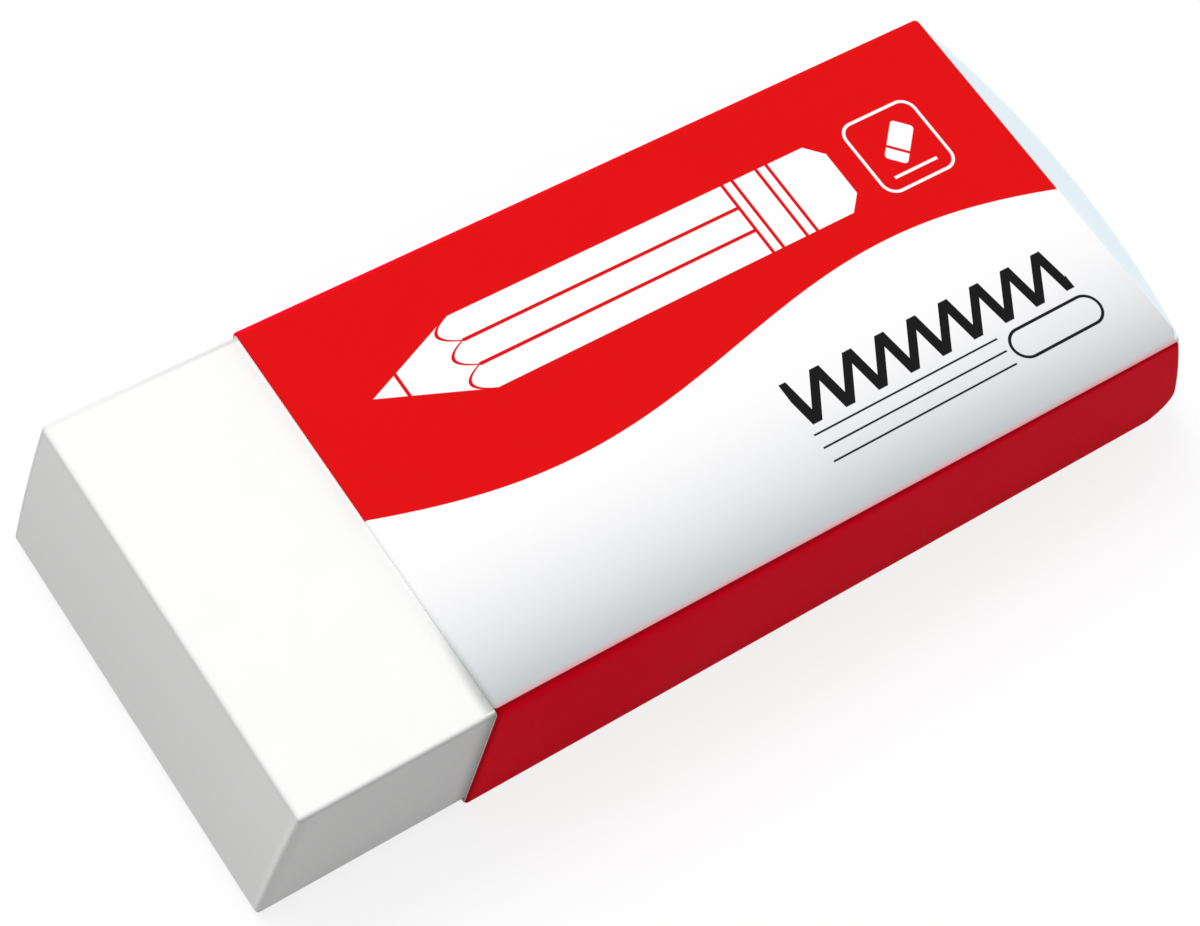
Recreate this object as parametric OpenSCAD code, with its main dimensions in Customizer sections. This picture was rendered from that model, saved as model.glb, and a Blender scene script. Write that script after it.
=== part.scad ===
// Eraser: a bar of white vinyl in a sleeve made of one folded and glued card.
// +X runs along the bar away from its bare end, +Y across it and +Z up.
// The origin is on the surface that the sleeve rests on, under the middle of the length.
// Places along X are first measured from the sleeve's front edge, then the whole is centred.

/* [Sleeve] */
// Outside width of the sleeve
sleeve_width = 21; // [18:0.5:26]
// Outside height of the sleeve
sleeve_height = 9.5; // [7:0.1:14]
// Length of the sleeve's top panel
sleeve_length = 38.7; // [25:0.1:50]
// Thickness of the card
card = 0.2; // [0.15:0.05:0.3]
// Outside radius of the card's four folds
fold_radius = 0.4; // [0.35:0.05:1]
// Width of the flap that is glued inside the bottom panel
flap_width = 6; // [3:0.5:9]
// From the bottom panel's cut edge to the outside of the far panel
lap_gap = 0.4; // [0.2:0.05:1]

/* [Block] */
// Length of the block that is bare in front of the sleeve, along its top
bare_length = 9.4; // [3:0.1:20]
// Play between the block and the card, on each side
play = 0.05; // [0.03:0.01:0.15]
// Radius of the block's edges
edge_radius = 0.15; // [0.1:0.05:0.5]
// How far the bare end leans out from top to bottom
bare_lean = 1.2; // [0.2:0.1:2]
// Radius of the bare end's slight bow, seen from the side
bare_bow = 120; // [60:10:2000]

/* [Far end] */
// How far the foot of the sleeve's sides stands out past its top panel
far_lean = 3.9; // [1:0.1:5]
// How far short of the top panel the sides stop, at their heads
shoulder = 0.3; // [0:0.05:0.6]
// Radius of the far end's bow, seen from the side
far_bow = 80; // [40:5:150]
// How far the middle of the block's far end stands out past its corners
crown = 1.2; // [0.4:0.1:2]
// How far the corners of the block's far end stand out past the sleeve's sides
reveal = 0.2; // [0:0.05:0.5]
// Radius of the far end's lower corner on the sleeve's sides
toe_radius = 1.9; // [1:0.1:2.5]

/* [Hidden] */

$fn = 96;
// A computed arc has at least this many steps, and none over this many degrees
arc_steps = 8;
arc_step_angle = 9;
// How far a cutting shape reaches past what it cuts
past = 5;

// The flat of the top and bottom panels ends at this distance from the middle
fold_y = sleeve_width / 2 - fold_radius;
block_width = sleeve_width - 2 * (card + play);
// The block lies on the flap, so two layers of card are under it and one is over it
block_floor = 2 * card + play;
block_top = sleeve_height - card - play;
block_height = block_top - block_floor;
block_toe = toe_radius - block_floor;
// Along its length the block is rounded at least as much as the inside of the card's folds
long_edge_radius = max(edge_radius, fold_radius - card);

// The far end is turned about an upright axis, which gives it its crown in plan
plan_radius = pow(block_width / 2, 2) / (2 * crown) + crown / 2;
plan_axis = sleeve_length - shoulder + reveal + crown - plan_radius;

function distance(p, q) = norm(q - p);

// Centre, on the left, of the arc of radius r from p up to q
function bow_centre(p, q, r) =
    let (middle = (p + q) / 2, half = distance(p, q) / 2, along = (q - p) / (2 * half))
    middle + sqrt(r * r - half * half) * [-along[1], along[0]];

// Centre of a circle of radius r inside the bow, whose lowest or highest point is level with z
function inner_centre(bow, bow_r, r, z) =
    [bow[0] + sqrt(pow(bow_r - r, 2) - pow(z - bow[1], 2)), z];

function angle_from(p, q) = atan2(q[1] - p[1], q[0] - p[0]);

// Points on an arc from angle a to angle b, or the centre alone where there is no radius
function arc(centre, r, a, b) =
    let (steps = max(arc_steps, ceil(abs(b - a) / arc_step_angle)))
    r == 0 ? [centre] : [for (i = [0:steps]) centre + r * [
        cos(a + (b - a) * i / steps),
        sin(a + (b - a) * i / steps)
    ]];

// The right-hand edge of a side view, from low to high: a bow with a rounded corner at each end
function bowed_edge(bow, bow_r, low, high, low_r, high_r) =
    let (
        toe = inner_centre(bow, bow_r, low_r, low + low_r),
        brow = inner_centre(bow, bow_r, high_r, high - high_r),
        toe_angle = angle_from(bow, toe),
        brow_angle = angle_from(bow, brow)
    )
    concat(
        arc(toe, low_r, -90, toe_angle),
        arc(bow, bow_r, toe_angle, brow_angle),
        arc(brow, high_r, brow_angle, 90)
    );

function mirrored(points) = [for (i = [len(points) - 1:-1:0]) [-points[i][0], points[i][1]]];

// A side view's edge carried straight on past its two ends, so that it cuts cleanly
function run_on(points, by) =
    let (first = points[0], last = points[len(points) - 1])
    concat([[first[0], first[1] - by]], points, [[last[0], last[1] + by]]);

function furthest(points) = max([for (p = points) p[0]]);

far_foot = [sleeve_length + far_lean, 0];
far_head = [sleeve_length - shoulder, sleeve_height];
far_bow_centre = bow_centre(far_foot, far_head, far_bow);
sleeve_far_edge = bowed_edge(far_bow_centre, far_bow, 0, sleeve_height, toe_radius, 0);

// The block's far end is the same bow, as a distance from the upright axis of its crown
block_far_edge = bowed_edge(
    far_bow_centre + [reveal + crown - plan_axis, 0], far_bow,
    block_floor, block_top, block_toe, edge_radius
);
bare_bow_centre = bow_centre([bare_length + bare_lean, 0], [bare_length, sleeve_height], bare_bow);
bare_edge = bowed_edge(
    bare_bow_centre, bare_bow, block_floor, block_top, edge_radius, edge_radius
);

x_low = -furthest(bare_edge);
x_high = plan_axis + furthest(block_far_edge);

// Moves a piece from the sleeve's front edge to the middle of the whole length
module centred() {
    translate([-(x_low + x_high) / 2, 0, 0]) children();
}

// Stands an X-Z outline up and gives it a width across, centred on Y
module across(width) {
    rotate([90, 0, 0]) linear_extrude(width, center = true) children();
}

// Turns a Y-Z outline to face along X, from x_start over a length
module along(x_start, length) {
    translate([x_start, 0, 0]) rotate([90, 0, 90]) linear_extrude(length) children();
}

// Outline of the block across its length
module block_section() {
    r = long_edge_radius;
    left = -block_width / 2 + r;
    low = block_floor + r;
    wide = block_width - 2 * r;
    tall = block_height - 2 * r;
    translate([left, block_floor]) square([wide, block_height]);
    translate([left - r, low]) square([block_width, tall]);
    for (y = [left, left + wide], z = [low, low + tall]) translate([y, z]) circle(r);
}

// A quarter turn of card round a fold, in the corner that faces the given way
module fold(y, z, turn) {
    translate([y, z]) rotate(turn) intersection() {
        difference() {
            circle(fold_radius);
            circle(fold_radius - card);
        }
        square(fold_radius);
    }
}

// Outline of the folded card: bottom, near side, top, far side and the flap on the bottom panel
module card_section() {
    half = sleeve_width / 2;
    high = sleeve_height - fold_radius;
    far_low = card + fold_radius;
    translate([-fold_y, 0]) square([fold_y + half - lap_gap, card]);
    translate([-half, fold_radius]) square([card, high - fold_radius]);
    translate([-fold_y, sleeve_height - card]) square([2 * fold_y, card]);
    translate([half - card, far_low]) square([card, high - far_low]);
    translate([fold_y - flap_width, card]) square([flap_width, card]);
    fold(-fold_y, fold_radius, 180);
    fold(-fold_y, high, 90);
    fold(fold_y, high, 0);
    fold(fold_y, far_low, 270);
}

module eraser_block() {
    color("white") centred() intersection() {
        along(x_low - past, x_high - x_low + 2 * past) block_section();
        across(block_width + past) polygon(concat(
            mirrored(run_on(bare_edge, past)),
            [[x_high + past, block_floor - past], [x_high + past, block_top + past]]
        ));
        translate([plan_axis, 0, 0]) rotate_extrude() polygon(concat(
            [[0, block_floor - past]], run_on(block_far_edge, past), [[0, block_top + past]]
        ));
    }
}

// The space within the die-cut far edges: a bowed one on the sides, a straight one on the top
module sleeve_cut() {
    across(sleeve_width + past) polygon(concat(
        [[-past, -past]], run_on(sleeve_far_edge, past), [[-past, sleeve_height + past]]
    ));
    translate([0, -fold_y, sleeve_height - 2 * card]) cube([sleeve_length, 2 * fold_y, 3 * card]);
}

module sleeve() {
    color("crimson") centred() intersection() {
        along(0, sleeve_length + far_lean + past) card_section();
        sleeve_cut();
    }
}

eraser_block();
sleeve();
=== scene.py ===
"""A white vinyl eraser in a printed sleeve of folded card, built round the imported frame.

Every length is in metres, in the frame of the CAD model: +X runs from the block's bare end to its
far end, +Y across it and +Z up through the printed top panel.
"""

import logging
import math
from collections.abc import Callable, Iterable
from dataclasses import dataclass
from enum import Enum
from functools import cached_property, reduce

import bmesh
import bpy
from mathutils import Matrix, Vector


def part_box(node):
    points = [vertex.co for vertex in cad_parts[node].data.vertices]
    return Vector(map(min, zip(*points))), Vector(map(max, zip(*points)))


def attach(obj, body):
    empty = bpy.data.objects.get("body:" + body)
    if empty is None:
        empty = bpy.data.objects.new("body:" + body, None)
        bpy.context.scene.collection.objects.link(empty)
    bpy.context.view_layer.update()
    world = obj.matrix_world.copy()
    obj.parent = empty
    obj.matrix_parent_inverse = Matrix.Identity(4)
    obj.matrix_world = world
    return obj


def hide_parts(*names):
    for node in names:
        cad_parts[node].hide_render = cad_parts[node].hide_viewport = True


LOG = logging.getLogger("sleeved_eraser")
MM = 0.001
NEAR_ENOUGH = 0.004 * MM
# How nearly a face's normal lies along an axis when the face is taken to look that way
FACING = 0.99
# The least angle, in degrees, that the shading keeps sharp
CREASE = 40
# The mean level of a noise
MEAN_NOISE = 0.5

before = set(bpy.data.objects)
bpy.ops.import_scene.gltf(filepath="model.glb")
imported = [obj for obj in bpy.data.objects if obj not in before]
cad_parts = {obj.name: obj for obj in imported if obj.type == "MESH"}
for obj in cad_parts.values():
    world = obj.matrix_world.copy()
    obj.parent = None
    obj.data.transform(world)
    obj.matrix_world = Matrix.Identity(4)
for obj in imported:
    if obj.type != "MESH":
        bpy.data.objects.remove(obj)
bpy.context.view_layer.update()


# ---- Modelling tools ----


class Part(Enum):
    """What an edit works on, under the name that Blender's select mode has for it."""

    POINTS = "VERT"
    EDGES = "EDGE"
    FACES = "FACE"


class Axis(Enum):
    """The directions that rows and columns are cut across."""

    ACROSS = Vector((0, 1, 0))
    UP = Vector((0, 0, 1))


def clear_selection() -> None:
    """Leaves nothing selected, because the loaded frame starts out selected."""
    bpy.ops.object.select_all(action="DESELECT")


def take(piece: bpy.types.Object) -> None:
    """Selects one piece alone and makes it the active one.

    Args:
        piece: The mesh object.
    """
    clear_selection()
    piece.select_set(True)
    bpy.context.view_layer.objects.active = piece


def close_to(value: float, target: float) -> bool:
    """Whether two lengths are the same, to within the accuracy of the modelling."""
    return abs(value - target) < NEAR_ENOUGH


@dataclass
class Bench:
    """One mesh object on the bench, shaped in edit mode by Blender's own operators."""

    piece: bpy.types.Object

    def __enter__(self) -> "Bench":
        """Opens the piece for editing, alone.

        Returns:
            This bench.
        """
        take(self.piece)
        bpy.ops.object.mode_set(mode="EDIT")
        return self

    def __exit__(self, *problem: object) -> None:
        """Closes the piece again."""
        bpy.ops.object.mode_set(mode="OBJECT")

    @property
    def mesh(self) -> bmesh.types.BMesh:
        """The mesh as it is being edited."""
        return bmesh.from_edit_mesh(self.piece.data)

    def pick(self, part: Part, test: Callable[..., bool]) -> None:
        """Selects the points, edges or faces that pass a test, and nothing else.

        Args:
            part: Which kind of element to look through.
            test: Says whether one element is wanted.
        """
        bpy.ops.mesh.select_mode(type=part.value)
        bpy.ops.mesh.select_all(action="DESELECT")
        mesh = self.mesh
        elements = {Part.POINTS: mesh.verts, Part.EDGES: mesh.edges, Part.FACES: mesh.faces}[part]
        for element in [element for element in elements if test(element)]:
            element.select_set(True)
        bmesh.update_edit_mesh(self.piece.data)

    def slice_at(self, places: Iterable[float], axis: Axis) -> None:
        """Cuts rows of edges right through the piece, on planes that all face the same way.

        Args:
            places: Distance of each plane from the origin.
            axis: The direction that the planes face.
        """
        for place in places:
            bpy.ops.mesh.select_all(action="SELECT")
            bpy.ops.mesh.bisect(plane_co=axis.value * place, plane_no=axis.value)

    def slide(self, by: Vector) -> None:
        """Moves what is selected."""
        bpy.ops.transform.translate(value=by)

    def draw_out(self, by: Vector) -> None:
        """Extrudes the selected edges, as a flat panel of card."""
        bpy.ops.mesh.extrude_region_move(TRANSFORM_OT_translate={"value": by})

    def fold(self, centre: Vector, steps: int) -> None:
        """Carries the selected edges a quarter turn round a fold along X, in a number of flats."""
        bpy.ops.mesh.spin(steps=steps, angle=math.pi / 2, center=centre, axis=(1, 0, 0))

    def round_edges(self, radius: float, steps: int, material: int = -1) -> None:
        """Rounds the selected edges over.

        Args:
            radius: The radius of the rounding.
            steps: How many flats make it.
            material: The number of the rounding's material, or -1 for that of its faces.
        """
        bpy.ops.mesh.bevel(
            offset=radius, segments=steps, profile=0.5, affect="EDGES", material=material
        )


def settle(piece: bpy.types.Object) -> None:
    """Puts a piece's place, turn and size into its mesh, so that its object is at the origin."""
    take(piece)
    bpy.ops.object.transform_apply(location=True, rotation=True, scale=True)


def apply_modifier(piece: bpy.types.Object, kind: str, **settings: object) -> None:
    """Adds a modifier to a piece and applies it.

    Args:
        piece: The mesh object to change.
        kind: The modifier's type.
        **settings: The modifier's own settings.
    """
    take(piece)
    modifier = piece.modifiers.new(kind.title(), kind)
    for name, value in settings.items():
        setattr(modifier, name, value)
    bpy.ops.object.modifier_apply(modifier=modifier.name)


def smooth(piece: bpy.types.Object) -> None:
    """Shades a piece smooth across its roundings, and keeps its flats flat.

    Args:
        piece: The mesh object.
    """
    take(piece)
    bpy.ops.object.shade_smooth_by_angle(angle=math.radians(CREASE))
    apply_modifier(piece, "WEIGHTED_NORMAL", keep_sharp=True, weight=100)


def steps_between(start: float, end: float, about: float) -> list[float]:
    """Evenly spaced places after a start, up to an end and with it.

    Args:
        start: Where they start, which isn't one of them.
        end: The last of them.
        about: Roughly how far apart they are.

    Returns:
        The places.
    """
    count = round((end - start) / about)
    step = (end - start) / count
    return [start + step * i for i in range(1, count + 1)]


# ---- Outlines that the block and the sleeve share ----


@dataclass(frozen=True)
class Bow:
    """The upright outline of an end: a shallow arc that leans out from its head to its foot."""

    reach_at_head: float
    lean: float
    radius: float
    height: float

    @property
    def centre(self) -> Vector:
        """Centre of the arc.

        Returns:
            Its distance outwards and its height.
        """
        foot = Vector((self.reach_at_head + self.lean, 0))
        head = Vector((self.reach_at_head, self.height))
        half = (head - foot).length / 2
        along = (head - foot) / (2 * half)
        return (foot + head) / 2 + math.sqrt(self.radius**2 - half**2) * Vector((-along.y, along.x))

    def reach(self, z: float) -> float:
        """How far out the arc is at a height."""
        return self.centre.x + math.sqrt(self.radius**2 - (z - self.centre.y) ** 2)


@dataclass(frozen=True)
class Toe:
    """The rounded foot of a bowed end."""

    bow: Bow
    radius: float
    floor: float = 0.0

    @property
    def middle(self) -> float:
        """The height of the rounding's centre."""
        return self.floor + self.radius

    @property
    def top(self) -> float:
        """The height at which the rounding runs into the bow."""
        above = self.middle - self.bow.centre.y
        return self.middle + self.radius * above / (self.bow.radius - self.radius)

    def reach(self, z: float) -> float:
        """How far out the bow with its rounded foot is.

        Args:
            z: The height.

        Returns:
            The distance outwards.
        """
        if z >= self.top:
            return self.bow.reach(z)
        above = self.middle - self.bow.centre.y
        out = self.bow.centre.x + math.sqrt((self.bow.radius - self.radius) ** 2 - above**2)
        return out + math.sqrt(max(0.0, self.radius**2 - (z - self.middle) ** 2))

    def rows(self, count: int) -> list[float]:
        """Heights spaced evenly round the rounding.

        Args:
            count: How many there are.

        Returns:
            The heights, from above its lowest point up to where it runs into the bow.
        """
        end = math.asin((self.top - self.middle) / self.radius)
        turns = [-math.pi / 2 + (end + math.pi / 2) * i / count for i in range(1, count + 1)]
        return [self.middle + self.radius * math.sin(turn) for turn in turns]


@dataclass(frozen=True)
class SleeveOutline:
    """The sleeve seen from the side: its front edge is upright, and its far end leans and bows."""

    front: float
    height: float
    length: float = 38.7 * MM
    shoulder: float = 0.3 * MM
    far_lean: float = 3.9 * MM
    far_bow: float = 80 * MM
    toe_radius: float = 1.9 * MM

    @property
    def far_end(self) -> Bow:
        """The far end of the side panels, whose heads stop a little short of the top panel."""
        head = self.front + self.length - self.shoulder
        return Bow(head, self.far_lean + self.shoulder, self.far_bow, self.height)

    @property
    def toe(self) -> Toe:
        """The rounded lower corner of the side panels."""
        return Toe(self.far_end, self.toe_radius)


# ---- Shader tools ----


def math_operator(operation: str, reflected: bool = False) -> "Callable[[Signal, Signal | float], Signal]":
    """Makes a Python operator that adds a Math node.

    Args:
        operation: The node's operation.
        reflected: Whether the other value comes first.

    Returns:
        The operator's method.
    """

    def method(signal: "Signal", other: "Signal | float") -> "Signal":
        """Works the operation on a signal and another value."""
        values = (other, signal) if reflected else (signal, other)
        return signal.graph.math(operation, *values)

    return method


@dataclass
class Signal:
    """A shader socket that takes part in Python arithmetic.

    The greater of two signals, written |, joins two masks. The lesser, written &, keeps what both
    masks share.
    """

    graph: "Graph"
    socket: bpy.types.NodeSocket

    __add__ = __radd__ = math_operator("ADD")
    __sub__ = math_operator("SUBTRACT")
    __rsub__ = math_operator("SUBTRACT", reflected=True)
    __mul__ = __rmul__ = math_operator("MULTIPLY")
    __truediv__ = math_operator("DIVIDE")
    __pow__ = math_operator("POWER")
    __or__ = math_operator("MAXIMUM")
    __and__ = math_operator("MINIMUM")

    def __abs__(self) -> "Signal":
        """The size, without its sign."""
        return self.graph.math("ABSOLUTE", self)


Triple = tuple[float, float, float]
Colour = Triple
WHITE: Colour = (1.0, 1.0, 1.0)
# Where a smooth step starts and ends, then its levels before and after it unless they are 0 and 1
Step = tuple[float, ...]


def moved(step: Step, by: float) -> Step:
    """The same step, further along by a length."""
    return step[0] + by, step[1] + by, *step[2:]


class Graph:
    """A node graph, written as expressions."""

    def __init__(self, tree: bpy.types.NodeTree) -> None:
        """Starts with an empty graph, in the node tree of a material or of the world."""
        self.tree = tree
        self.tree.nodes.clear()

    def node(self, kind: str, settings: dict[str, object], inputs: dict) -> bpy.types.Node:
        """Adds one node.

        Args:
            kind: The node's type.
            settings: Its own settings, set before its sockets.
            inputs: The value or the link of each socket, by the socket's name or number.

        Returns:
            The new node.
        """
        node = self.tree.nodes.new(kind)
        for name, value in settings.items():
            setattr(node, name, value)
        for key, value in inputs.items():
            if isinstance(value, Signal):
                self.tree.links.new(value.socket, node.inputs[key])
            elif isinstance(value, tuple) and node.inputs[key].type == "RGBA":
                node.inputs[key].default_value = (*value, 1.0)
            else:
                node.inputs[key].default_value = value
        return node

    def result(
        self, kind: str, settings: dict[str, object], inputs: dict, output: int | str = 0
    ) -> Signal:
        """What comes out of a new node, at its first output or at another one."""
        return Signal(self, self.node(kind, settings, inputs).outputs[output])

    def math(self, operation: str, *values: Signal | float) -> Signal:
        """A Math node's result, from its operation and its inputs in order."""
        return self.result("ShaderNodeMath", {"operation": operation}, dict(enumerate(values)))

    def axes(self, vector: Signal) -> tuple[Signal, Signal, Signal]:
        """The three parts of a vector."""
        outputs = self.node("ShaderNodeSeparateXYZ", {}, {0: vector}).outputs
        return tuple(Signal(self, output) for output in outputs)

    def stretched(self, vector: Signal, by: Triple) -> Signal:
        """A vector with each axis multiplied by its own number."""
        return self.result("ShaderNodeVectorMath", {"operation": "MULTIPLY"}, {0: vector, 1: by})

    def rise(self, value: Signal, start: float, end: float, low: float = 0.0, high: float = 1.0) -> Signal:
        """A smooth step from one level to another.

        Args:
            value: What the step depends on.
            start: The value at which it starts.
            end: The value at which it is complete.
            low: The level before it.
            high: The level after it.

        Returns:
            The level.
        """
        return self.result(
            "ShaderNodeMapRange",
            {"interpolation_type": "SMOOTHSTEP"},
            {"Value": value, "From Min": start, "From Max": end, "To Min": low, "To Max": high},
        )

    def noise(self, place: Signal, grain: float, detail: float = 2.0, rough: float = 0.5) -> Signal:
        """Soft noise, from 0 to 1.

        Args:
            place: Where on the piece.
            grain: The size of its patches.
            detail: How many finer layers it has.
            rough: How strong those layers are.

        Returns:
            The noise.
        """
        inputs = {"Vector": place, "Scale": 1 / grain, "Detail": detail, "Roughness": rough}
        return self.result("ShaderNodeTexNoise", {}, inputs)

    def cells(self, place: Signal, grain: float) -> Signal:
        """How far each place is from the nearest of a scatter of points, in cells of one size."""
        inputs = {"Vector": place, "Scale": 1 / grain}
        return self.result("ShaderNodeTexVoronoi", {}, inputs, "Distance")

    def blend(self, share: Signal | float, one: Signal | Colour, two: Signal | Colour) -> Signal:
        """A colour between two colours.

        Args:
            share: How much of the second there is.
            one: The first colour.
            two: The second colour.

        Returns:
            The colour.
        """
        return self.result("ShaderNodeMix", {"data_type": "RGBA"}, {0: share, 6: one, 7: two}, 2)

    def dimmed(self, colour: Signal | Colour, light: Signal) -> Signal:
        """A colour multiplied by a grey."""
        settings = {"data_type": "RGBA", "blend_type": "MULTIPLY"}
        return self.result("ShaderNodeMix", settings, {0: 1.0, 6: colour, 7: light}, 2)

    def shows_background(self) -> Signal:
        """Tells the rays that show a background: camera, glossy and transmission rays.

        Returns:
            1 for those rays, and 0 for the others.
        """
        rays = self.node("ShaderNodeLightPath", {}, {}).outputs
        seen = Signal(self, rays["Is Camera Ray"]) | Signal(self, rays["Is Glossy Ray"])
        return seen | Signal(self, rays["Is Transmission Ray"])


class Surface(Graph):
    """The graph of one material, which reads the Object coordinates of its piece."""

    soft = 0.018 * MM

    def __init__(self, name: str) -> None:
        """Starts a material.

        Args:
            name: The material's name.
        """
        self.material = bpy.data.materials.new(name)
        self.material.use_nodes = True
        super().__init__(self.material.node_tree)

    @cached_property
    def place(self) -> Signal:
        """The place on the piece."""
        return self.result("ShaderNodeTexCoord", {}, {}, "Object")

    @cached_property
    def along_across_up(self) -> tuple[Signal, Signal, Signal]:
        """The place's three parts."""
        return self.axes(self.place)

    def above(self, value: Signal, level: Signal | float) -> Signal:
        """A mask with a crisp edge: 1 where a value is above a level."""
        return self.rise(value - level, -self.soft, self.soft)

    def between(self, value: Signal, low: Signal | float, high: Signal | float) -> Signal:
        """A mask of the band between two levels."""
        return self.above(value, low) & (1 - self.above(value, high))

    def depth_in_bow(self, bow: Bow, out: Signal, z: Signal) -> Signal:
        """How far in from a bow each place is, by its distance outwards and its height."""
        rise = z - bow.centre.y
        return bow.centre.x + self.math("SQRT", bow.radius**2 - rise * rise) - out

    def relief(self, height: Signal) -> Signal:
        """The normals of a surface whose height is given in metres."""
        return self.result("ShaderNodeBump", {}, {"Strength": 1.0, "Distance": 1.0, "Height": height})

    def finish(self, colour: Signal, roughness: Signal, height: Signal, index: float) -> bpy.types.Material:
        """Ends the graph in a Principled surface.

        Args:
            colour: The base colour.
            roughness: The roughness.
            height: The height of the fine relief, in metres.
            index: The surface's refractive index, which sets its plain reflection.

        Returns:
            The material.
        """
        inputs = {
            "Base Color": colour,
            "Roughness": roughness,
            "Normal": self.relief(height),
            "IOR": index,
        }
        surface = self.result("ShaderNodeBsdfPrincipled", {}, inputs)
        self.node("ShaderNodeOutputMaterial", {}, {"Surface": surface})
        return self.material


# ---- The block ----


@dataclass(frozen=True)
class PaintedSleeveShadow:
    """Painted shadow of the sleeve's front edge: grey on the block beside it, on the top and the near side.

    It is worst at the near corner. Steps across the block are places along Y, and the others are
    distances in front of the sleeve's edge.
    """

    widths: Step = (-3 * MM, -10 * MM, 0.155 * MM, 0.62 * MM)
    strengths: Step = (-4 * MM, -10.2 * MM, 0.0, 0.8)
    under_sleeve: Step = (-0.7 * MM, -0.02 * MM)
    top_ends: float = -10.12 * MM
    side: Step = (0.8 * MM, 0.0, 0.0, 0.5)
    side_starts: float = -10.2 * MM
    patch: float = 0.5 * MM
    least: float = 0.75
    patchiness: float = 0.4

    def strength(self, g: Surface, front: float) -> Signal:
        """The strength of the painted shadow.

        Args:
            g: The material's graph.
            front: Where the sleeve's front edge is, along X.

        Returns:
            The strength, from 0 to 1.
        """
        x, y, _ = g.along_across_up
        gap = front - x
        patchy_noise = g.noise(g.place, self.patch, detail=3, rough=0.6)
        hidden = g.rise(gap, *self.under_sleeve)
        strip = g.rise(gap, g.rise(y, *self.widths), 0.0) * hidden * (self.least + patchy_noise * self.patchiness)
        beside_fold = strip * g.rise(y, *self.strengths) * g.above(y, self.top_ends)
        near_side = g.rise(gap, *self.side) * hidden
        return beside_fold | near_side * (1 - g.above(y, self.side_starts))


@dataclass(frozen=True)
class PaintedEdgeShading:
    """Thin soft lines along the edges of the block: painted shade under the top edge and along the far top
    edge, a darker strip on the near side by the bare end, and a painted highlight on the bare end's near
    vertical edge.

    Steps are distances in from an edge, apart from the one along the block, which is measured from
    the sleeve's front edge.
    """

    under_top: Step = (0.51 * MM, 0.204 * MM)
    over_line: Step = (0.085 * MM, 0.17 * MM)
    line_grey: float = 0.05
    near_line_grey: float = 0.07
    near_side: float = 0.1 * MM
    far_line: Step = (0.272 * MM, 0.17 * MM)
    far_greys: Step = (-8 * MM, 0.0, 0.08, 0.2)
    corner: Step = (0.5 * MM, 0.15 * MM)
    corner_depths: Step = (0.1 * MM, 0.03 * MM)
    # Painted highlight on the bare end's near vertical edge
    corner_highlight: float = 0.08
    behind: Step = (0.9 * MM, 0.3 * MM)
    behind_grey: float = 0.06

    def light(self, g: Surface, block: "VinylBlock", bare_depth: Signal) -> Signal:
        """The light that the lines leave.

        Args:
            g: The material's graph.
            block: The block.
            bare_depth: The distance in from the bare end.

        Returns:
            The light, which is above 1 where the painted highlight lies on the bare end's near corner.
        """
        x, y, z = g.along_across_up
        side = block.high.y
        down = block.high.z - z
        # Painted shade under the top edge and along the far top edge, a darker strip on the near side by
        # the bare end, and a painted highlight on its near corner
        line = g.rise(down, *self.under_top) * g.rise(down, *self.over_line)
        on_near_side = g.above(-1 * y, side - self.near_side)
        far_grey = g.rise(side - y, *self.far_line) * g.rise(x, *moved(self.far_greys, block.outline.front))
        corner = g.rise(y, *moved(self.corner, -side)) * g.rise(bare_depth, *self.corner_depths)
        behind = on_near_side * g.rise(bare_depth, *self.behind) * self.behind_grey
        greyed = line * (self.line_grey + on_near_side * self.near_line_grey)
        return 1 + corner * self.corner_highlight - behind - greyed - far_grey


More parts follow.
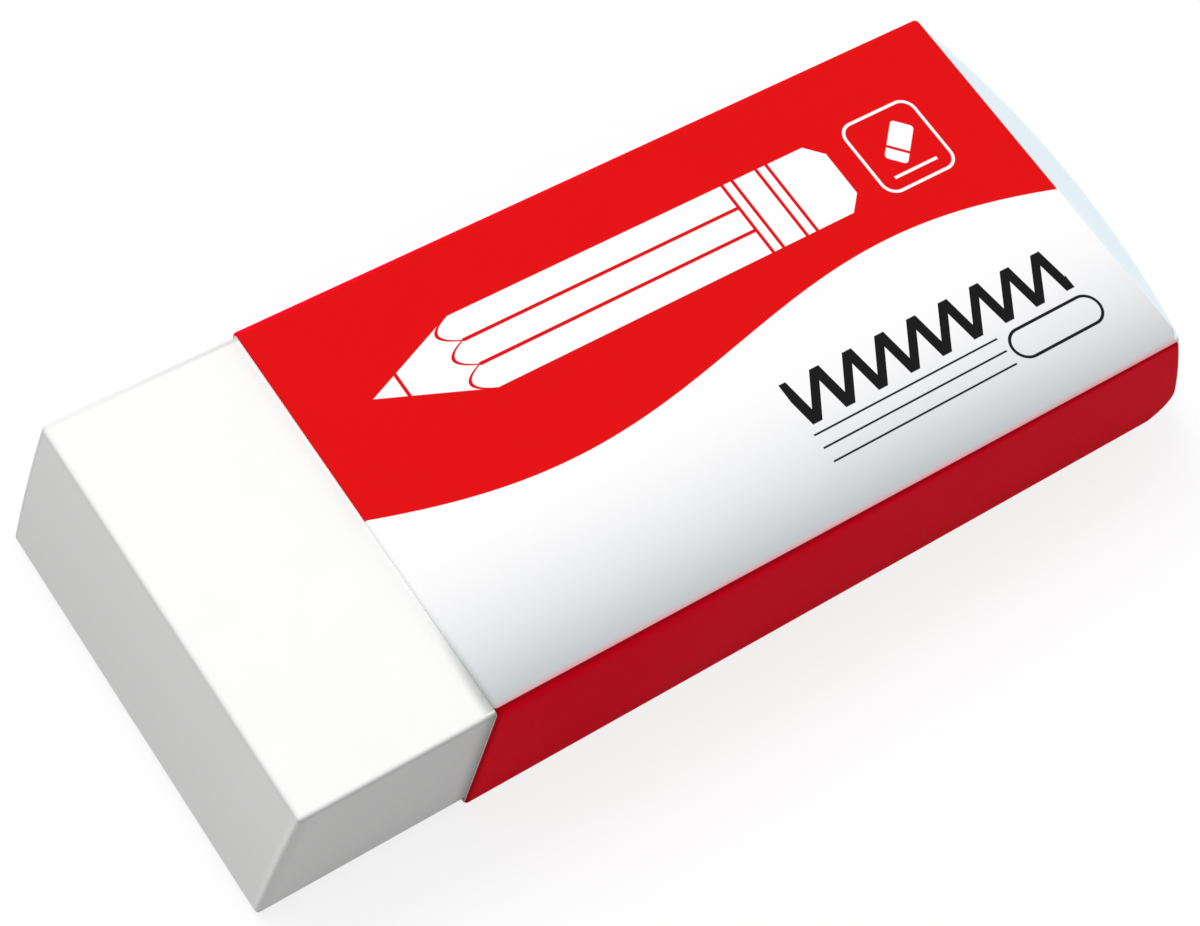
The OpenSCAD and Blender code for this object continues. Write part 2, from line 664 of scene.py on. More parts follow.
@dataclass(frozen=True)
class VinylFinish:
    """Smooth white vinyl with a fine filler grain, and a painted pale blue shade on its far end.

    Depths are distances in from an end, and the edge of the speckles is in cells of their grain.
    """

    white: Colour = (0.865, 0.865, 0.86)
    # Painted pale blue shade on the far end
    far_shade_tint: Colour = (0.68, 0.765, 0.81)
    far_shade_depths: Step = (1.8 * MM, 0.9 * MM)
    far_shade_below_top: Step = (-0.35 * MM, -0.1 * MM, 0.4, 1.0)
    # Grey of the painted shadow beside the sleeve's front edge
    sleeve_shadow_grey: Colour = (0.36, 0.38, 0.36)
    roughness: float = 0.55
    cut_roughness: float = 0.15
    patch_roughness: float = 0.1
    speckle: float = 0.12 * MM
    speckle_edge: Step = (0.18, 0.08)
    patch: float = 4 * MM
    mottling: float = 0.03
    cut_depths: Step = (0.06 * MM, 0.02 * MM)
    stroke_stretch: Triple = (1.0, 1.0, 0.12)
    stroke_pitch: float = 0.35 * MM
    stroke_height: float = 0.004 * MM
    drawn_stretch: Triple = (0.05, 1.0, 1.0)
    drawn_pitch: float = 0.7 * MM
    drawn_share: float = 0.4
    grain_height: float = 0.0012 * MM
    index: float = 1.33
    sleeve_shadow: PaintedSleeveShadow = PaintedSleeveShadow()
    edges: PaintedEdgeShading = PaintedEdgeShading()

    def material(self, block: "VinylBlock") -> bpy.types.Material:
        """Makes the block's material.

        Args:
            block: The block, whose ends and edges the colours follow.

        Returns:
            The material.
        """
        g = Surface("white_vinyl")
        x, y, z = g.along_across_up
        from_axis = g.math("SQRT", (x - block.crown_axis) * (x - block.crown_axis) + y * y)
        far_depth = g.depth_in_bow(block.far_end, from_axis + block.crown_axis, z)
        bare_depth = g.depth_in_bow(block.bare_end, -1 * x, z)
        cut_face = g.rise(far_depth & bare_depth, *self.cut_depths)

        patches = g.noise(g.place, self.patch, detail=3)
        speckles = g.rise(g.cells(g.place, self.speckle), *self.speckle_edge)
        light = 1 - self.mottling / 2 + patches * self.mottling - speckles * self.mottling
        # Painted pale blue shade within about a millimetre of the far end, strongest at its top
        far_shaded = g.rise(far_depth, *self.far_shade_depths)
        far_shaded = far_shaded * g.rise(z, *moved(self.far_shade_below_top, block.high.z))
        colour = g.blend(far_shaded, self.white, self.far_shade_tint)
        # Painted shadow beside the sleeve's front edge, on the top and the near side
        colour = g.blend(self.sleeve_shadow.strength(g, block.outline.front), colour, self.sleeve_shadow_grey)
        # Painted edge shade and highlight, over the random tone
        colour = g.dimmed(colour, light * self.edges.light(g, block, bare_depth))

        strokes = g.noise(g.stretched(g.place, self.stroke_stretch), self.stroke_pitch, detail=3, rough=0.6)
        drawn = g.noise(g.stretched(g.place, self.drawn_stretch), self.drawn_pitch)
        height = (
            cut_face * strokes * self.stroke_height
            + (1 - cut_face) * drawn * self.stroke_height * self.drawn_share
            + g.noise(g.place, self.speckle) * self.grain_height
        )
        roughness = self.roughness + cut_face * self.cut_roughness
        roughness = roughness + (patches - MEAN_NOISE) * self.patch_roughness
        return g.finish(colour, roughness, height, self.index)


@dataclass
class VinylBlock:
    """The bar of vinyl: straight sides, a leaning bare end, and a crowned and bowed far end."""

    outline: SleeveOutline
    low: Vector
    high: Vector
    bare_length: float = 9.4 * MM
    bare_lean: float = 1.2 * MM
    bare_bow: float = 120 * MM
    crown: float = 1.2 * MM
    reveal: float = 0.2 * MM
    edge_radius: float = 0.18 * MM
    toe_radius: float = 1.45 * MM
    swell: float = 0.04 * MM
    columns: int = 20
    toe_steps: int = 10
    row_height: float = 0.8 * MM
    edge_steps: int = 5
    finish: VinylFinish = VinylFinish()

    @property
    def far_end(self) -> Bow:
        """The far end's upright outline along the middle of the block."""
        sides = self.outline.far_end
        return Bow(sides.reach_at_head + self.reveal + self.crown, sides.lean, sides.radius, sides.height)

    @property
    def bare_end(self) -> Bow:
        """The bare end's upright outline, as a distance towards -X."""
        head = self.bare_length - self.outline.front
        return Bow(head, self.bare_lean, self.bare_bow, self.outline.height)

    @property
    def toe(self) -> Toe:
        """The far end's rounded foot."""
        return Toe(self.far_end, self.toe_radius, self.low.z)

    @property
    def crown_axis(self) -> float:
        """The upright axis of the far end's crown.

        Returns:
            Its place along X.
        """
        half = (self.high.y - self.low.y) / 2
        plan_radius = half**2 / (2 * self.crown) + self.crown / 2
        return self.far_end.reach_at_head - plan_radius

    def build(self) -> bpy.types.Object:
        """Models the block and dresses it.

        Returns:
            The finished piece.
        """
        clear_selection()
        size = self.high - self.low
        bpy.ops.mesh.primitive_cube_add(size=1, location=(self.low + self.high) / 2, scale=size)
        piece = bpy.context.object
        piece.name = "vinyl_block"
        settle(piece)
        with Bench(piece) as bench:
            self._divide(bench)
            self._shape_ends(bench)
            self._clear_rows(bench)
            self._round(bench)
            self._fill_out(bench)
        smooth(piece)
        piece.data.materials.append(self.finish.material(self))
        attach(piece, "block")
        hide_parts("eraser_block")
        return piece

    @property
    def heights(self) -> list[float]:
        """The heights of the rows of points up each end, close together round the far toe."""
        rows = [self.low.z, *self.toe.rows(self.toe_steps)]
        return rows + steps_between(rows[-1], self.high.z, self.row_height)

    @property
    def places_across(self) -> list[float]:
        """The places along Y of the columns of points up each end."""
        width = self.high.y - self.low.y
        return [self.low.y + width * i / self.columns for i in range(self.columns + 1)]

    def _divide(self, bench: Bench) -> None:
        """Cuts the rows and columns that let the ends take their curves."""
        bench.slice_at(self.places_across[1:-1], Axis.ACROSS)
        bench.slice_at(self.heights[1:-1], Axis.UP)

    def _shape_ends(self, bench: Bench) -> None:
        """Moves each row of the ends out to its bow, and the far end's columns in for its crown.

        Args:
            bench: The bench that holds the piece.
        """
        for z in self.heights:
            bench.pick(Part.POINTS, lambda v: close_to(v.co.x, self.low.x) and close_to(v.co.z, z))
            bench.slide(Vector((-self.bare_end.reach(z) - self.low.x, 0, 0)))
            for y in self.places_across:
                bench.pick(
                    Part.POINTS,
                    lambda v: v.co.x > 0 and close_to(v.co.y, y) and close_to(v.co.z, z),
                )
                out = self.crown_axis + math.sqrt((self.toe.reach(z) - self.crown_axis) ** 2 - y**2)
                bench.slide(Vector((out - self.high.x, 0, 0)))

    def _clear_rows(self, bench: Bench) -> None:
        """Takes out the rows that only the far end needs, before the edges near them are rounded.

        Args:
            bench: The bench that holds the piece.
        """
        for sign in (1, -1):
            bench.pick(Part.FACES, lambda f: f.normal.y * sign > FACING)
            bpy.ops.mesh.dissolve_faces()
        toe_rows = self.heights[1 : self.toe_steps]

        def spare(edge: bmesh.types.BMEdge) -> bool:
            """Whether an edge is part of a toe row, but on the bare end."""
            one, two = [v.co for v in edge.verts]
            return one.x < 0 and close_to(one.z, two.z) and any(close_to(one.z, z) for z in toe_rows)

        bench.pick(Part.EDGES, spare)
        bpy.ops.mesh.dissolve_edges(use_verts=True)

    def _round(self, bench: Bench) -> None:
        """Rounds every edge but the far end's foot, which the toe already rounds.

        Args:
            bench: The bench that holds the piece.
        """

        def sharp(edge: bmesh.types.BMEdge) -> bool:
            """Whether an edge is to be rounded.

            Args:
                edge: The edge.

            Returns:
                True where it borders the near or far side, or lies across a head or the bare foot.
            """
            one, two = [v.co for v in edge.verts]
            borders_side = sum(abs(face.normal.y) > FACING for face in edge.link_faces) == 1
            across = abs(one.y - two.y) > NEAR_ENOUGH
            head = all(close_to(p.z, self.high.z) for p in (one, two))
            bare_foot = all(close_to(p.z, self.low.z) and p.x < 0 for p in (one, two))
            return borders_side or across and (head or bare_foot)

        bench.pick(Part.EDGES, sharp)
        bench.round_edges(self.edge_radius, self.edge_steps)

    def _fill_out(self, bench: Bench) -> None:
        """Swells the top and the sides, so that the block fills the sleeve more closely.

        Args:
            bench: The bench that holds the piece.
        """
        inner = self.high.y - self.edge_radius + NEAR_ENOUGH
        bench.pick(Part.POINTS, lambda v: v.co.z > self.high.z - self.edge_radius + NEAR_ENOUGH)
        bench.slide(Vector((0, 0, self.swell)))
        bench.pick(Part.POINTS, lambda v: v.co.y > inner)
        bench.slide(Vector((0, self.swell, 0)))
        bench.pick(Part.POINTS, lambda v: v.co.y < -inner)
        bench.slide(Vector((0, -self.swell, 0)))


# ---- The sleeve's print ----


@dataclass(frozen=True)
class Wave:
    """The line between the red and the white field: a sine wave on a falling slope."""

    middle: float = 19.59 * MM
    swing: float = 1.974 * MM
    turn: float = 0.1391 / MM
    fall: float = 0.0637
    drop: float = 0.648 * MM


@dataclass(frozen=True)
class Pencil:
    """A pencil seen from the side, with its point towards the sleeve's front edge."""

    tip: float = 3.5 * MM
    lead: float = 1.5 * MM
    cone: float = 8.6 * MM
    scallop: float = 0.9 * MM
    barrel: float = 24.0 * MM
    ferrule: float = 26.6 * MM
    end: float = 29.6 * MM
    end_flat: float = 0.6
    band: float = 0.6 * MM
    middle: float = 4.67 * MM
    half: float = 2.07 * MM
    line: float = 0.18 * MM


@dataclass(frozen=True)
class Badge:
    """A rounded square outline with a small eraser in it, tilted over the line that it rubs."""

    u: float = 33.1 * MM
    v: float = 4.67 * MM
    half: float = 2.2 * MM
    corner: float = 0.8 * MM
    line: float = 0.16 * MM
    eraser_half: tuple[float, float] = (1.15 * MM, 0.58 * MM)
    eraser_corner: float = 0.2 * MM
    eraser_middle: float = 0.25 * MM
    eraser_band: float = -0.45 * MM
    ground: float = -1.4 * MM
    ground_half: float = 1.3 * MM


@dataclass(frozen=True)
class Scribble:
    """A zigzag pencil scribble."""

    start: float = 19.9 * MM
    end: float = 35.8 * MM
    low: float = -5.7 * MM
    high: float = -3.3 * MM
    half_pitch: float = 0.95 * MM
    slant: float = 0.25
    stroke: float = 0.5 * MM


@dataclass(frozen=True)
class Rules:
    """Thin rules one under another, with a small rounded outline at their end."""

    start: float = 19.8 * MM
    end: float = 30.6 * MM
    levels: tuple[float, ...] = (-6.17 * MM, -6.9 * MM, -7.67 * MM)
    line: float = 0.1 * MM
    tag: tuple[float, float] = (33.6 * MM, -6.98 * MM)
    tag_half: tuple[float, float] = (2.75 * MM, 0.86 * MM)
    tag_line: float = 0.16 * MM


@dataclass
class Print:
    """The print on the top panel, where u runs along it from its front edge and v across it."""

    graph: Surface
    u: Signal
    v: Signal

    def red_field(self, wave: Wave) -> Signal:
        """The field on the far side of the wavy line along the panel.

        Args:
            wave: The line.

        Returns:
            The mask.
        """
        along = self.u - wave.middle
        swing = self.graph.math("SINE", along * wave.turn) * wave.swing
        return self.graph.above(self.v, swing - along * wave.fall - wave.drop)

    def lines(self, value: Signal, places: Iterable[float], width: float) -> Signal:
        """Lines of one width, each with its middle at a place along a value."""
        masks = [self.graph.between(value, place - width / 2, place + width / 2) for place in places]
        return reduce(lambda one, two: one | two, masks)

    def outside(self, a: Signal, b: Signal, half: tuple[float, float], corner: float) -> Signal:
        """The distance out from a rectangle with rounded corners.

        Args:
            a: The distance from its middle one way.
            b: The distance from its middle the other way.
            half: Half its size each way.
            corner: The radius of its corners.

        Returns:
            The distance, below 0 just inside.
        """
        out_a = (abs(a) - (half[0] - corner)) | 0.0
        out_b = (abs(b) - (half[1] - corner)) | 0.0
        return self.graph.math("SQRT", out_a * out_a + out_b * out_b) - corner

    def pencil(self, pencil: Pencil) -> Signal:
        """The pencil, solid but for the thin lines between its parts.

        Args:
            pencil: Its sizes.

        Returns:
            The mask.
        """
        g = self.graph
        up = abs(self.v - pencil.middle)
        third = pencil.half / 3
        tapered = (self.u - pencil.tip) * (pencil.half / (pencil.cone - pencil.tip))
        rounded = pencil.end - self.u + pencil.half * pencil.end_flat
        inside = (1 - g.above(up, tapered & rounded & pencil.half)) & (1 - g.above(self.u, pencil.end))

        from_facet = g.math("PINGPONG", up, third) / third
        paint_edge = pencil.cone - (1 - from_facet * from_facet) * pencil.scallop
        facets = self.lines(up, [third], pencil.line) & g.between(self.u, pencil.cone, pencil.barrel)
        seams = self.lines(self.u - paint_edge, [0.0], pencil.line)
        ferrule = [pencil.barrel, pencil.barrel + pencil.band, pencil.ferrule - pencil.band, pencil.ferrule]
        bands = self.lines(self.u, [pencil.tip + pencil.lead, *ferrule], pencil.line)
        return inside & (1 - (facets | seams | bands))

    def badge(self, badge: Badge) -> Signal:
        """The badge.

        Args:
            badge: Its sizes.

        Returns:
            The mask.
        """
        g = self.graph
        a = self.u - badge.u
        b = self.v - badge.v
        edge = self.outside(a, b, (badge.half, badge.half), badge.corner)
        ring = g.between(edge, -badge.line, 0.0)
        root = math.sqrt(0.5)
        length = (a + b) * root - badge.eraser_middle
        girth = (b - a) * root
        body = self.outside(length, girth, badge.eraser_half, badge.eraser_corner)
        eraser = (1 - g.above(body, 0.0)) & (1 - self.lines(length, [badge.eraser_band], badge.line))
        ground = self.lines(b, [badge.ground], badge.line) & (1 - g.above(abs(a), badge.ground_half))
        return ring | eraser | ground

    def scribble(self, scribble: Scribble) -> Signal:
        """The zigzag.

        Args:
            scribble: Its sizes.

        Returns:
            The mask.
        """
        g = self.graph
        tall = scribble.high - scribble.low
        steep = tall / scribble.half_pitch
        leaned = self.u - self.v * scribble.slant - scribble.start
        line = g.math("PINGPONG", leaned * steep, tall) + scribble.low
        stroke = 1 - g.above(abs(self.v - line), scribble.stroke / 2 * math.hypot(1, steep))
        kept = g.between(self.v, scribble.low, scribble.high)
        return stroke & kept & g.between(self.u, scribble.start, scribble.end)

    def rules(self, rules: Rules) -> Signal:
        """The thin rules and the small outline at their end.

        Args:
            rules: Their sizes.

        Returns:
            The mask.
        """
        g = self.graph
        lines = self.lines(self.v, rules.levels, rules.line) & g.between(self.u, rules.start, rules.end)
        a = self.u - rules.tag[0]
        b = self.v - rules.tag[1]
        tag = self.outside(a, b, rules.tag_half, rules.tag_half[1])
        return lines | g.between(tag, -rules.tag_line, 0.0)


@dataclass(frozen=True)
class InkFinish:
    """Red and black printed on coated white card, with a painted soft grey shade on the white field towards
    the near fold.

    The lip is where the side's red ends on the near fold. As their names say, steps run along the
    sleeve from its front edge, across it along Y, or past the lip. The edge of the pale crest line,
    which is cracked ink and painted highlight, is a step on the level of its noise.
    """

    # One red ink in two tones for the top and the side, each set for the light that its face gets: painted
    # light
    top_red: Colour = (0.70, 0.0065, 0.0075)
    side_red: Colour = (0.905, 0.003, 0.018)
    white: Colour = (0.89, 0.885, 0.895)
    black: Colour = (0.012, 0.012, 0.012)
    # Painted shade that darkens the white field towards the near fold
    shade: Colour = (0.43, 0.462, 0.482)
    shade_starts: float = -2.5 * MM
    shade_width: float = 8 * MM
    shade_curve: float = 1.8
    shade_along: Step = (24 * MM, 38 * MM, 1.0, 0.88)
    lip_start: float = 0.073 * MM
    lip_slope: float = 0.0088
    lip_dark: Step = (0.0, 0.4 * MM, 0.6, 1.0)
    front_dark_along: Step = (0.0, 0.4 * MM, 0.75, 1.0)
    lit_part: float = 0.65
    fold_light: float = 1.0
    red_from: float = 0.12 * MM
    far_red_from: float = 0.34 * MM
    # Pale crest line on the near fold: cracked ink and a painted highlight
    crest_wear_and_highlight: Colour = (0.90, 0.40, 0.42)
    wear_width: float = 0.3 * MM
    wear_slope: float = 0.003
    crest_light_at_front: float = 0.78
    wear_stretch: Triple = (0.25, 1.0, 1.0)
    wear_patch: float = 0.3 * MM
    wear_edge: Step = (0.3, 0.7, 0.65, 0.95)
    # Painted shade along the top panel's front edge, strongest at the near corner
    front_edge_shade: Colour = (0.36, 0.38, 0.37)
    front_edge_shade_along: Step = (0.3 * MM, 0.0)
    front_edge_shade_across: Step = (-4 * MM, -10 * MM, 0.0, 0.5)
    roughness: float = 0.5
    patch_roughness: float = 0.08
    fibre_roughness: float = 0.12
    mottling: float = 0.02
    patch: float = 6 * MM
    fibre: float = 0.14 * MM
    fibre_stretch: Triple = (0.4, 1.0, 1.0)
    fibre_height: float = 0.0012 * MM
    ripple: float = 9 * MM
    ripple_height: float = 0.01 * MM
    index: float = 1.04

    def material(self, outline: SleeveOutline, fold_y: float, fold_radius: float) -> bpy.types.Material:
        """Makes the material of the card's printed side.

        Args:
            outline: The sleeve, seen from the side.
            fold_y: The distance from the middle to where the top panel starts to fold.
            fold_radius: The radius of the fold.

        Returns:
            The material.
        """
        g = Surface("inked_card")
        x, y, z = g.along_across_up
        u = x - outline.front
        # The side's red starts a little further round the near fold towards the far end
        round_fold = (outline.height - z) + (abs(y) - fold_y)
        past_lip = round_fold - (u * self.lip_slope + self.lip_start)
        far = g.above(y, 0.0)

        upper = g.above(z, outline.height / 2)
        on_side = g.above(past_lip, 0.0) | (1 - upper)
        # Painted shade: the upper part of the fold faces the light more than the side does, so its ink is
        # darkened, and darker still just past the lip and near the front edge
        lit = (1 - (outline.height - z) / (fold_radius * self.lit_part)) | 0.0
        darker = g.rise(past_lip, *self.lip_dark) / (1 + lit * self.fold_light)
        darker = darker * g.rise(u, *self.front_dark_along)
        # The flap on the far side is glued down unprinted, so the red starts above it
        red_from = self.red_from + far * (self.far_red_from - self.red_from)
        side = g.blend(g.above(z, red_from), self.white, g.dimmed(self.side_red, darker | far))
        colour = g.blend(on_side, self._panel(Print(g, u, y)), side)

        # Pale line on the fold's crest: cracked ink, with a painted highlight made brighter towards the far
        # end, where the fold gets less light
        patchy_noise = g.noise(g.stretched(g.place, self.wear_stretch), self.wear_patch)
        crest = g.rise(past_lip, -self.wear_width - u * self.wear_slope, 0.0)
        crest = crest & (1 - on_side) & (1 - far) & upper
        crest_colour = g.dimmed(self.crest_wear_and_highlight, g.rise(u, 0.0, outline.length, self.crest_light_at_front, 1.0))
        colour = g.blend(crest * g.rise(patchy_noise, *self.wear_edge), colour, crest_colour)
        # Painted shade along the top panel's front edge, strongest at the near corner
        front = g.rise(u, *self.front_edge_shade_along) * g.rise(y, *self.front_edge_shade_across) * (1 - on_side)
        colour = g.blend(front, colour, self.front_edge_shade)

        patches = g.noise(g.place, self.patch, detail=3)
        fibres = g.noise(g.stretched(g.place, self.fibre_stretch), self.fibre, detail=3, rough=0.6)
        colour = g.dimmed(colour, 1 - self.mottling + patches * self.mottling + fibres * self.mottling)
        roughness = self.roughness + (patches - MEAN_NOISE) * self.patch_roughness
        roughness = roughness + (fibres - MEAN_NOISE) * self.fibre_roughness
        height = fibres * self.fibre_height + g.noise(g.place, self.ripple, detail=1) * self.ripple_height
        return g.finish(colour, roughness, height, self.index)

    def _panel(self, ink: Print) -> Signal:
        """The colours of the top panel.

        Args:
            ink: The print on it.

        Returns:
            The colour.
        """
        g = ink.graph
        # Painted shade: the white field darkens to grey towards the near fold, a little less towards the
        # far end
        fade = ((self.shade_starts - ink.v) / self.shade_width) | 0.0
        weaker_far = g.rise(ink.u, *self.shade_along)
        colour = g.blend(fade**self.shade_curve * weaker_far, self.white, self.shade)
        colour = g.blend(ink.red_field(Wave()), colour, self.top_red)
        colour = g.blend(ink.pencil(Pencil()) | ink.badge(Badge()), colour, self.white)
        return g.blend(ink.scribble(Scribble()) | ink.rules(Rules()), colour, self.black)


@dataclass(frozen=True)
class CardFinish:
    """The card's bare core, which shows inside and on its cut edges."""

    white: Colour = (0.92, 0.93, 0.925)
    # Painted shade on the cut front edge, towards the near corner and the top
    cut_edge_shade: Colour = (0.45, 0.47, 0.46)
    cut_edge_shade_along: Step = (0.3 * MM, 0.2 * MM)
    cut_edge_shade_across: Step = (-3 * MM, -10 * MM, 0.0, 0.8)
    cut_edge_shade_below_top: Step = (-1.2 * MM, 0.0)
    roughness: float = 0.85
    fibre_roughness: float = 0.2
    between_fibres: float = 0.94
    fibre: float = 0.05 * MM
    fibre_stretch: Triple = (0.3, 1.0, 1.0)
    fibre_light: float = 0.06
    fibre_height: float = 0.006 * MM
    patch: float = 2 * MM
    patch_light: float = 0.03
    index: float = 1.3

    def material(self, outline: SleeveOutline) -> bpy.types.Material:
        """Makes the material of the card's bare side and its cut edges.

        Args:
            outline: The sleeve, whose front edge carries painted shade at its near corner.

        Returns:
            The material.
        """
        g = Surface("bare_card")
        x, y, z = g.along_across_up
        fibres = g.noise(g.stretched(g.place, self.fibre_stretch), self.fibre, detail=4, rough=0.65)
        patches = g.noise(g.place, self.patch)
        # Painted shade on the cut front edge, towards the near corner and the top
        front = g.rise(x - outline.front, *self.cut_edge_shade_along)
        near_top = g.rise(y, *self.cut_edge_shade_across) * g.rise(z, *moved(self.cut_edge_shade_below_top, outline.height))
        colour = g.blend(front * near_top, self.white, self.cut_edge_shade)
        light = self.between_fibres + fibres * self.fibre_light + patches * self.patch_light
        roughness = self.roughness + (fibres - MEAN_NOISE) * self.fibre_roughness
        return g.finish(g.dimmed(colour, light), roughness, fibres * self.fibre_height, self.index)


# ---- The sleeve ----


class Side(Enum):
    """The two sides of the card, under the numbers of their materials."""

    PRINTED = 0
    BARE = 1


@dataclass
class CardSleeve:
    """One strip of card, folded four times round the block and glued to itself underneath."""

    outline: SleeveOutline
    low: Vector
    high: Vector
    card: float = 0.2 * MM
    fold_radius: float = 0.4 * MM
    fold_steps: int = 8
    flap_width: float = 6 * MM
    lap_gap: float = 0.4 * MM
    glue: float = 0.01 * MM
    row_height: float = 0.8 * MM
    toe_steps: int = 12
    cut_rounding: float = 0.12 * MM
    cut_steps: int = 4
    inner_rounding: float = 0.015 * MM
    inner_steps: int = 2
    sharp_corner: float = 60.0
    ink: InkFinish = InkFinish()
    core: CardFinish = CardFinish()

    @property
    def fold_y(self) -> float:
        """The distance from the middle to where the top panel starts to fold."""
        return self.high.y - self.fold_radius

    def build(self) -> bpy.types.Object:
        """Models the sleeve and dresses it.

        Returns:
            The finished piece.
        """
        piece = self._lay_bottom_panel()
        with Bench(piece) as bench:
            self._fold_round(bench)
            self._divide(bench)
            self._shape_far_edge(bench)
            bench.pick(Part.FACES, lambda f: True)
            bpy.ops.mesh.normals_make_consistent(inside=False)
            bottom = min(bench.mesh.faces, key=lambda f: f.calc_center_median().z)
            if bottom.normal.z > 0:
                bpy.ops.mesh.flip_normals()
        piece.data.materials.append(self.ink.material(self.outline, self.fold_y, self.fold_radius))
        piece.data.materials.append(self.core.material(self.outline))
        apply_modifier(
            piece, "SOLIDIFY", thickness=self.card, offset=-1.0, use_even_offset=True,
            use_rim=True, material_offset=Side.BARE.value, material_offset_rim=Side.BARE.value,
        )
        self._soften_cuts(piece)
        smooth(piece)
        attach(piece, "sleeve")
        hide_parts("sleeve")
        return piece

    def _lay_bottom_panel(self) -> bpy.types.Object:
        """Adds the flat panel that the sleeve rests on, as far as its cut edge.

        Returns:
            The new piece.
        """
        clear_selection()
        start = self.low.y + self.fold_radius
        end = self.high.y - self.lap_gap
        reach = self.outline.far_end.reach(0)
        place = ((self.low.x + reach) / 2, (start + end) / 2, self.low.z)
        bpy.ops.mesh.primitive_plane_add(size=1, location=place)
        piece = bpy.context.object
        piece.name = "card_sleeve"
        piece.scale = (reach - self.low.x, end - start, 1)
        settle(piece)
        return piece

    def _fold_round(self, bench: Bench) -> None:
        """Draws the panels out and folds them round, from the bottom panel to the glued flap.

        Args:
            bench: The bench that holds the piece.
        """
        r = self.fold_radius
        near, far = self.low.y + r, self.high.y - r
        head, foot = self.high.z - r, self.low.z + r
        far_foot = foot + self.card + self.glue

        def last_edge(y: float, z: float) -> None:
            """Selects the edge that the strip has reached."""
            bench.pick(
                Part.EDGES,
                lambda e: all(close_to(v.co.y, y) and close_to(v.co.z, z) for v in e.verts),
            )

        last_edge(near, self.low.z)
        bench.fold(Vector((0, near, foot)), self.fold_steps)
        last_edge(self.low.y, foot)
        bench.draw_out(Vector((0, 0, head - foot)))
        last_edge(self.low.y, head)
        bench.fold(Vector((0, near, head)), self.fold_steps)
        last_edge(near, self.high.z)
        bench.draw_out(Vector((0, far - near, 0)))
        last_edge(far, self.high.z)
        bench.fold(Vector((0, far, head)), self.fold_steps)
        last_edge(self.high.y, head)
        bench.draw_out(Vector((0, 0, far_foot - head)))
        last_edge(self.high.y, far_foot)
        bench.fold(Vector((0, far, far_foot)), self.fold_steps)
        last_edge(far, far_foot - r)
        bench.draw_out(Vector((0, -self.flap_width, 0)))
        bench.pick(Part.POINTS, lambda v: True)
        bpy.ops.mesh.remove_doubles(threshold=NEAR_ENOUGH)

    def _divide(self, bench: Bench) -> None:
        """Cuts rows along the side panels, close round the toe, and a column near the near fold.

        Args:
            bench: The bench that holds the piece.
        """
        foot, head = self.fold_radius, self.high.z - self.fold_radius
        rows = [z for z in self.outline.toe.rows(self.toe_steps) if z > foot]
        bench.slice_at(rows + steps_between(rows[-1], head, self.row_height)[:-1], Axis.UP)
        bench.slice_at([self.outline.shoulder - self.fold_y], Axis.ACROSS)

    def _shape_far_edge(self, bench: Bench) -> None:
        """Draws the far edge in: each row of the sides to the bowed outline, and the top straight.

        Args:
            bench: The bench that holds the piece.
        """
        outline = self.outline
        reach = outline.far_end.reach(0)
        straight = outline.front + outline.length
        edge = [v.co.copy() for v in bench.mesh.verts if close_to(v.co.x, reach)]
        for place in edge:
            bench.pick(Part.POINTS, lambda v: (v.co - place).length < NEAR_ENOUGH)
            over_panel = place.z > self.high.z - self.fold_radius and place.y > NEAR_ENOUGH - self.fold_y
            target = straight if over_panel else outline.toe.reach(place.z)
            bench.slide(Vector((target - reach, 0, 0)))

    def _soften_cuts(self, piece: bpy.types.Object) -> None:
        """Rounds the cut edges of the card, more on its printed side than on its bare side.

        Args:
            piece: The sleeve, with its thickness.
        """

        def on_print(edge: bmesh.types.BMEdge) -> bool:
            """Whether an edge lies between the printed side and a cut."""
            sides = sorted(face.material_index for face in edge.link_faces)
            return sides == [Side.PRINTED.value, Side.BARE.value]

        def sharp(edge: bmesh.types.BMEdge) -> bool:
            """Whether an edge is still sharp."""
            return edge.calc_face_angle(0) > math.radians(self.sharp_corner)

        with Bench(piece) as bench:
            bench.pick(Part.EDGES, on_print)
            bench.round_edges(self.cut_rounding, self.cut_steps, Side.PRINTED.value)
            bench.pick(Part.EDGES, sharp)
            bench.round_edges(self.inner_rounding, self.inner_steps, Side.BARE.value)


# ---- The studio ----


@dataclass(frozen=True)
class Lamp:
    """A square lamp that faces the object."""

    name: str
    towards: tuple[float, float, float]
    distance: float
    size: float
    power: float


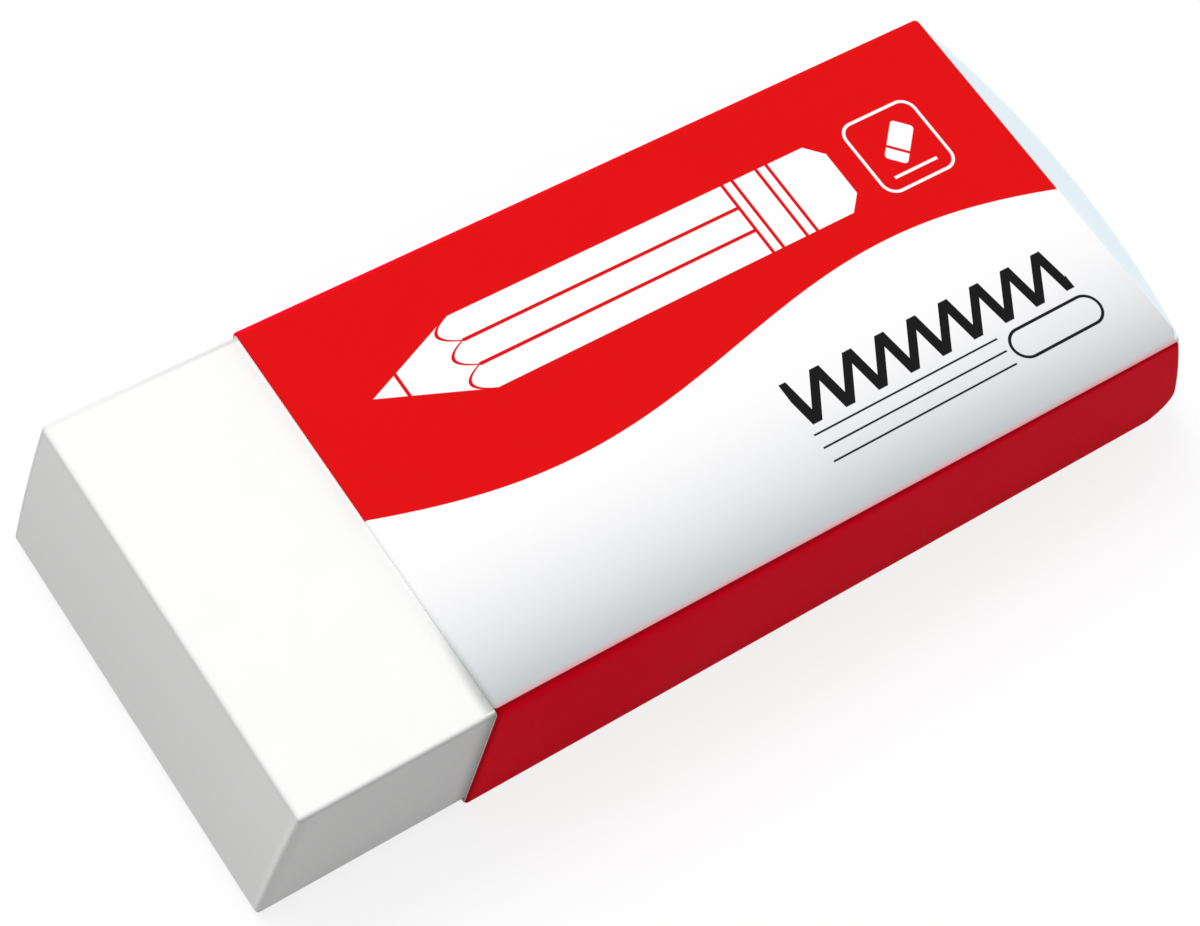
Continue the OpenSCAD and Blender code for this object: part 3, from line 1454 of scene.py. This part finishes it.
@dataclass(frozen=True)
class Studio:
    """A plain white floor, soft light and the camera."""

    floor_size: float = 20.0
    floor_drop: float = 0.01 * MM
    floor_white: float = 0.93
    floor_bounce: float = 0.32
    floor_glow: float = 0.8
    sky: float = 0.54
    lamps: tuple[Lamp, ...] = (
        Lamp("key", (-0.24, 0.40, 0.90), 0.9, 0.45, 4.9),
        Lamp("far_fill", (0.90, 0.05, 0.25), 0.9, 0.45, 2.5),
    )
    azimuth: float = -52.72
    elevation: float = 58.08
    roll: float = 20.93
    distance: float = 125.1 * MM
    lens: float = 86.81
    sensor: float = 36.0
    nearest_seen: float = 1 * MM
    aim_along: float = 10.48 * MM
    aim_across: float = -2.7 * MM

    def build(self, outline: SleeveOutline) -> None:
        """Makes the floor, the light and the camera.

        Args:
            outline: The sleeve, whose top panel the camera is aimed at.
        """
        self._lay_floor()
        self._light()
        self._set_camera(Vector((outline.front + self.aim_along, self.aim_across, outline.height)))
        bpy.context.scene.view_settings.view_transform = "Standard"

    def _lay_floor(self) -> None:
        """Lays the floor, and keeps the light that it sends back up onto the object low."""
        clear_selection()
        bpy.ops.mesh.primitive_plane_add(size=self.floor_size, location=(0, 0, -self.floor_drop))
        floor = bpy.context.object
        floor.name = "floor"
        settle(floor)
        g = Surface("floor_white")
        seen = g.shows_background()
        grey = g.rise(seen, 0.0, 1.0, self.floor_bounce, self.floor_white)
        matt = g.result("ShaderNodeBsdfDiffuse", {}, {"Color": grey})
        glow = g.result("ShaderNodeEmission", {}, {"Color": WHITE, "Strength": 1.0})
        mixed = g.result("ShaderNodeMixShader", {}, {0: seen * self.floor_glow, 1: matt, 2: glow})
        g.node("ShaderNodeOutputMaterial", {}, {"Surface": mixed})
        floor.data.materials.append(g.material)

    def _light(self) -> None:
        """Sets the even light from all round, and hangs the lamps."""
        world = bpy.data.worlds.new("studio")
        world.use_nodes = True
        bpy.context.scene.world = world
        g = Graph(world.node_tree)
        level = g.rise(g.shows_background(), 0.0, 1.0, self.sky, 1.0)
        background = g.result("ShaderNodeBackground", {}, {"Color": WHITE, "Strength": level})
        g.node("ShaderNodeOutputWorld", {}, {"Surface": background})
        for lamp in self.lamps:
            self._hang(lamp)

    def _hang(self, lamp: Lamp) -> None:
        """Hangs one lamp, turned to the object.

        Args:
            lamp: The lamp.
        """
        towards = Vector(lamp.towards).normalized()
        bpy.ops.object.light_add(
            type="AREA",
            location=towards * lamp.distance,
            rotation=towards.to_track_quat("Z", "Y").to_euler(),
        )
        light = bpy.context.object
        light.name = lamp.name
        light.data.shape = "SQUARE"
        light.data.size = lamp.size
        light.data.energy = lamp.power

    def _set_camera(self, target: Vector) -> None:
        """Sets the camera.

        Args:
            target: The point that it looks at.
        """
        azimuth, elevation = math.radians(self.azimuth), math.radians(self.elevation)
        back = Vector(
            (
                math.sin(azimuth) * math.cos(elevation),
                -math.cos(azimuth) * math.cos(elevation),
                math.sin(elevation),
            )
        )
        bpy.ops.object.camera_add(location=target + back * self.distance)
        camera = bpy.context.object
        turn = back.to_track_quat("Z", "Y").to_matrix() @ Matrix.Rotation(math.radians(self.roll), 3, "Z")
        camera.rotation_euler = turn.to_euler()
        camera.data.lens = self.lens
        camera.data.sensor_width = self.sensor
        camera.data.clip_start = self.nearest_seen
        bpy.context.scene.camera = camera


def report(piece: bpy.types.Object) -> None:
    """Logs one finished piece."""
    LOG.info("%s: %d faces", piece.name, len(piece.data.polygons))


def main() -> None:
    """Builds the studio and the two pieces."""
    logging.basicConfig(level=logging.INFO, format="%(message)s")
    block_low, block_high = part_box("eraser_block")
    sleeve_low, sleeve_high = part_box("sleeve")
    outline = SleeveOutline(sleeve_low.x, sleeve_high.z)
    Studio().build(outline)
    report(VinylBlock(outline, block_low, block_high).build())
    report(CardSleeve(outline, sleeve_low, sleeve_high).build())


if __name__ == "__main__":
    main()
